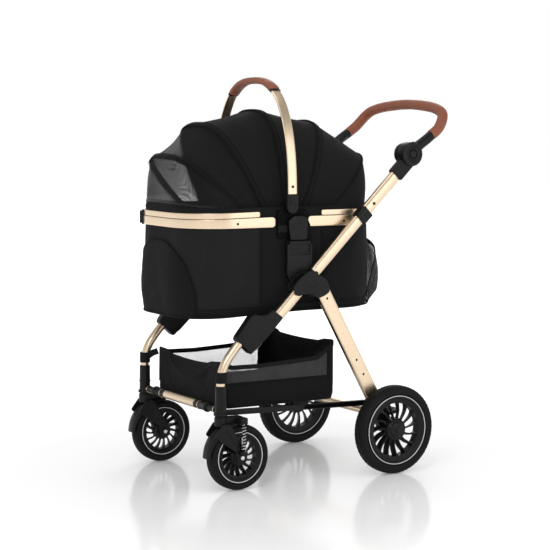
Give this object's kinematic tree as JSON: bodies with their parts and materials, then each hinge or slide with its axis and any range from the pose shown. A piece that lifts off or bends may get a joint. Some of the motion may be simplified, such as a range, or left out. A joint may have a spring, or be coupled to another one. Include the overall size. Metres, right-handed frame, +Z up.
{
  "type": "pet stroller",
  "caption": "Four-wheeled folding pet stroller: a lift-off soft carrier with a fan-folding mesh canopy and carry handle on a metal X-frame with a storage basket and swivel front wheels.",
  "frame": {"origin": "on the floor, midway between the two axles and between the left and the right wheels", "axes": "+Z up, -Y forwards, +X to the stroller's left"},
  "size_m": [0.549, 0.8368, 1.084],
  "materials": {
    "champagne_metal": "champagne-gold anodised, satin",
    "black_plastic": "fine-textured moulded",
    "tyre_rubber": "matt foam rubber",
    "brown_leather": "tan, grained, stitched",
    "black_fabric": "woven polyester",
    "grey_mesh": "open warp-knit mesh",
    "spring_steel": "bright wire and strip"
  },
  "bodies": {
    "frame": {"hub_left": "black_plastic", "hub_right": "black_plastic", "front_tube_left": "champagne_metal", "front_tube_right": "champagne_metal", "knuckle_left": "black_plastic", "knuckle_right": "black_plastic", "front_leg_left": "champagne_metal", "front_leg_right": "champagne_metal", "leg_boot_left": "black_plastic", "leg_boot_right": "black_plastic", "front_crossbar": "black_plastic", "crossbar_sleeve": "champagne_metal", "basket": "black_fabric"},
    "handle_frame": {"lower_tube_left": "champagne_metal", "lower_tube_right": "champagne_metal"},
    "handle_slide": {"upper_tube_left": "champagne_metal", "upper_tube_right": "champagne_metal", "collar_left": "black_plastic", "collar_right": "black_plastic", "handle_bracket_left": "black_plastic", "handle_bracket_right": "black_plastic"},
    "handlebar": {"handlebar_tube": "black_plastic", "handlebar_grip": "brown_leather"},
    "angle_button_left": {"angle_button_left": "black_plastic"},
    "angle_button_right": {"angle_button_right": "black_plastic"},
    "rear_legs": {"rear_leg_left": "champagne_metal", "rear_leg_right": "champagne_metal", "rear_axle": "champagne_metal"},
    "basket_frame": {"basket_frame": "black_plastic"},
    "brake_pedal": {"brake_pedal": "black_plastic"},
    "rear_wheel_left": {"rear_wheel_left_rim": "black_plastic", "rear_wheel_left_tyre": "tyre_rubber"},
    "rear_wheel_right": {"rear_wheel_right_rim": "black_plastic", "rear_wheel_right_tyre": "tyre_rubber"},
    "caster_left": {"caster_fork_left": "black_plastic", "caster_spring_left": "spring_steel"},
    "caster_right": {"caster_fork_right": "black_plastic", "caster_spring_right": "spring_steel"},
    "front_wheel_left": {"front_wheel_left_rim": "black_plastic", "front_wheel_left_tyre": "tyre_rubber"},
    "front_wheel_right": {"front_wheel_right_rim": "black_plastic", "front_wheel_right_tyre": "tyre_rubber"},
    "carrier": {"carrier_tub": "black_fabric", "carrier_mat": "black_fabric", "rim_front": "champagne_metal", "rim_back": "champagne_metal", "carrier_bracket_left": "black_plastic", "carrier_bracket_right": "black_plastic", "canopy_back": "black_fabric"},
    "carry_handle": {"carry_arch": "champagne_metal", "carry_grip": "brown_leather"},
    "carry_button_left": {"carry_button_left": "black_plastic"},
    "carry_button_right": {"carry_button_right": "black_plastic"},
    "canopy_bow_4": {"canopy_bow_4": "spring_steel", "canopy_top": "black_fabric"},
    "canopy_bow_3": {"canopy_bow_3": "spring_steel", "canopy_front": "black_fabric"},
    "canopy_bow_2": {"canopy_bow_2": "spring_steel"},
    "canopy_bow_1": {"canopy_bow_1": "spring_steel", "canopy_mesh": "grey_mesh"}
  },
  "joints": [
    {"name": "frame_fold", "type": "hinge", "parent": "frame", "child": "handle_frame", "pos_m": [0, -0.005, 0.56], "axis": [1, 0, 0], "range_deg": [0, 135]},
    {"name": "handle_height", "type": "slide", "parent": "handle_frame", "child": "handle_slide", "axis": [0, 0.7157, 0.6984], "range_m": [-0.09, 0]},
    {"name": "handle_angle", "type": "hinge", "parent": "handle_slide", "child": "handlebar", "pos_m": [0, 0.304, 0.876], "axis": [1, 0, 0], "range_deg": [-50, 50]},
    {"name": "angle_press_left", "type": "slide", "parent": "handle_slide", "child": "angle_button_left", "axis": [-1, 0, 0], "range_m": [0, 0.003], "stiffness_N_per_m": 400, "springref_m": -0.001},
    {"name": "angle_press_right", "type": "slide", "parent": "handle_slide", "child": "angle_button_right", "axis": [1, 0, 0], "range_m": [0, 0.003], "stiffness_N_per_m": 400, "springref_m": -0.001},
    {"name": "rear_leg_fold", "type": "hinge", "parent": "frame", "child": "rear_legs", "pos_m": [0, -0.005, 0.56], "axis": [1, 0, 0], "range_deg": [-30, 0]},
    {"name": "basket_frame_fold", "type": "hinge", "parent": "frame", "child": "basket_frame", "pos_m": [0, -0.262, 0.2035], "axis": [1, 0, 0], "range_deg": [-13.3, 0]},
    {"name": "brake_press", "type": "hinge", "parent": "rear_legs", "child": "brake_pedal", "pos_m": [0, 0.2235, 0.158], "axis": [1, 0, 0], "range_deg": [-20, 0]},
    {"name": "rear_wheel_spin_left", "type": "hinge", "parent": "rear_legs", "child": "rear_wheel_left", "pos_m": [0.252, 0.238, 0.122], "axis": [1, 0, 0], "continuous": true},
    {"name": "rear_wheel_spin_right", "type": "hinge", "parent": "rear_legs", "child": "rear_wheel_right", "pos_m": [-0.252, 0.238, 0.122], "axis": [1, 0, 0], "continuous": true},
    {"name": "caster_swivel_left", "type": "hinge", "parent": "frame", "child": "caster_left", "pos_m": [0.2145, -0.289, 0.2005], "axis": [0, 0, 1], "continuous": true},
    {"name": "caster_swivel_right", "type": "hinge", "parent": "frame", "child": "caster_right", "pos_m": [-0.2145, -0.289, 0.2005], "axis": [0, 0, 1], "continuous": true},
    {"name": "front_wheel_spin_left", "type": "hinge", "parent": "caster_left", "child": "front_wheel_left", "pos_m": [0.2145, -0.238, 0.0875], "axis": [1, 0, 0], "continuous": true},
    {"name": "front_wheel_spin_right", "type": "hinge", "parent": "caster_right", "child": "front_wheel_right", "pos_m": [-0.2145, -0.238, 0.0875], "axis": [1, 0, 0], "continuous": true},
    {"name": "carrier_lift", "type": "slide", "parent": "frame", "child": "carrier", "axis": [0, 0, 1], "range_m": [0, 0.12]},
    {"name": "carry_swing", "type": "hinge", "parent": "carrier", "child": "carry_handle", "pos_m": [0, -0.062, 0.737], "axis": [1, 0, 0], "range_deg": [-45, 55]},
    {"name": "carry_press_left", "type": "slide", "parent": "carry_handle", "child": "carry_button_left", "axis": [-1, 0, 0], "range_m": [0, 0.002], "stiffness_N_per_m": 400, "springref_m": -0.001},
    {"name": "carry_press_right", "type": "slide", "parent": "carry_handle", "child": "carry_button_right", "axis": [1, 0, 0], "range_m": [0, 0.002], "stiffness_N_per_m": 400, "springref_m": -0.001},
    {"name": "canopy_fold", "type": "hinge", "parent": "carrier", "child": "canopy_bow_4", "pos_m": [0, -0.065, 0.6], "axis": [1, 0, 0], "range_deg": [-15, 0], "deforming": ["canopy_back", "canopy_top"]},
    {"name": "canopy_fold_3", "type": "hinge", "parent": "canopy_bow_4", "child": "canopy_bow_3", "pos_m": [0, -0.065, 0.6], "axis": [1, 0, 0], "range_deg": [-18.42, 0], "deforming": ["canopy_top", "canopy_front"]},
    {"name": "canopy_fold_2", "type": "hinge", "parent": "canopy_bow_3", "child": "canopy_bow_2", "pos_m": [0, -0.065, 0.6], "axis": [1, 0, 0], "range_deg": [-19.02, 0], "deforming": ["canopy_front", "canopy_mesh"]},
    {"name": "canopy_fold_1", "type": "hinge", "parent": "canopy_bow_2", "child": "canopy_bow_1", "pos_m": [0, -0.065, 0.6], "axis": [1, 0, 0], "range_deg": [-10.33, 0], "deforming": ["canopy_mesh"]}
  ],
  "couplings": [
    {"joint": "rear_leg_fold", "follows": "frame_fold", "ratio": -0.22222},
    {"joint": "basket_frame_fold", "follows": "frame_fold", "ratio": -0.097926},
    {"joint": "canopy_fold_3", "follows": "canopy_fold", "ratio": 1.227},
    {"joint": "canopy_fold_2", "follows": "canopy_fold", "ratio": 1.267},
    {"joint": "canopy_fold_1", "follows": "canopy_fold", "ratio": 0.688}
  ]
}
